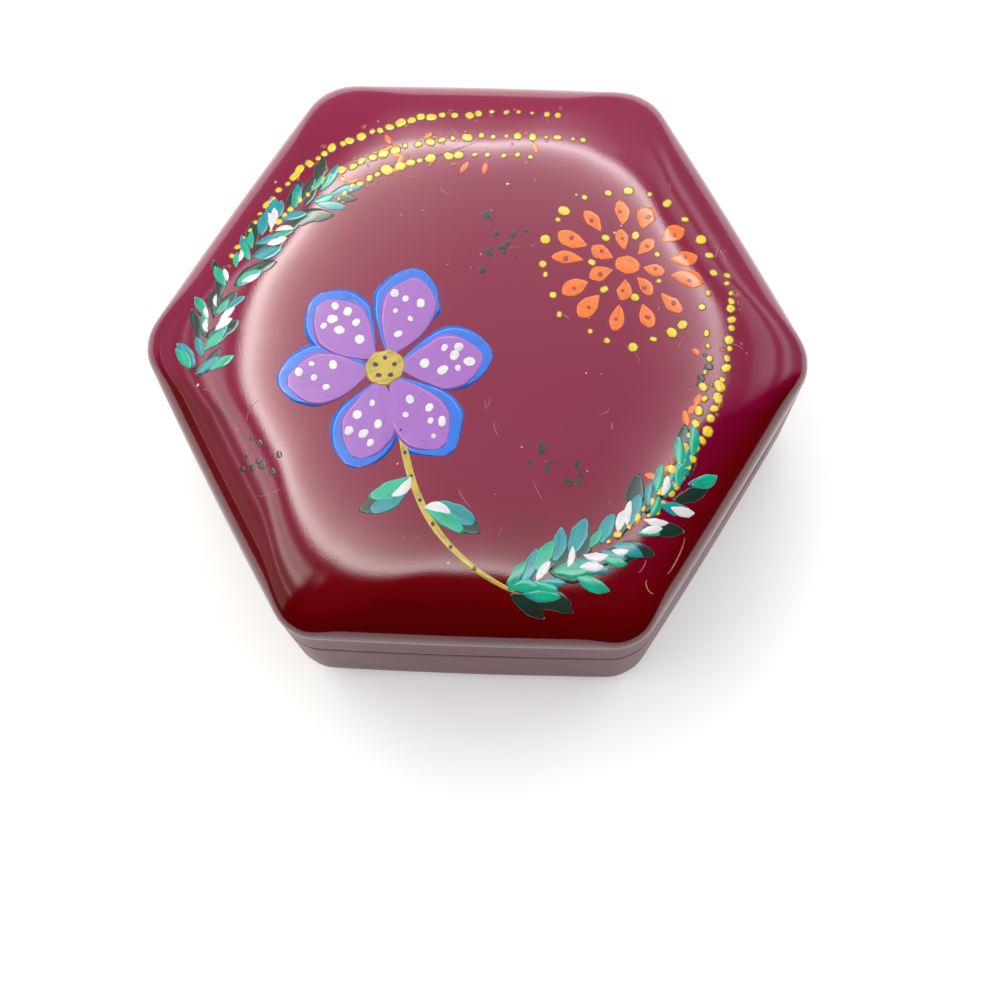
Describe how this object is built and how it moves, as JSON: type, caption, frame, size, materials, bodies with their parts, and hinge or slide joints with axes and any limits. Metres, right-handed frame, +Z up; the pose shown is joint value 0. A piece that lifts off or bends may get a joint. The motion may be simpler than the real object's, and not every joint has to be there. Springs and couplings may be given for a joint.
{
  "type": "pottery trinket box",
  "caption": "Low hexagonal pottery trinket box with rounded corners, a lift-off crowned lid and an inner locating flange.",
  "frame": {"origin": "middle of the footprint, on the surface the box stands on", "axes": "+X from corner to corner, -Y out of the front flat, +Z up"},
  "size_m": [0.1034, 0.092, 0.044],
  "materials": {
    "wine_glaze": "deep glossy wine red glaze",
    "bare_clay": "matt unglazed fired clay"
  },
  "bodies": {
    "base": {"base_shell": "wine_glaze", "foot_ring": "bare_clay", "locating_flange": "bare_clay"},
    "lid": {"lid_shell": "wine_glaze"}
  },
  "joints": [
    {"name": "lid_lift", "type": "slide", "parent": "base", "child": "lid", "axis": [0, 0, 1], "range_m": [0, 0.07]}
  ]
}
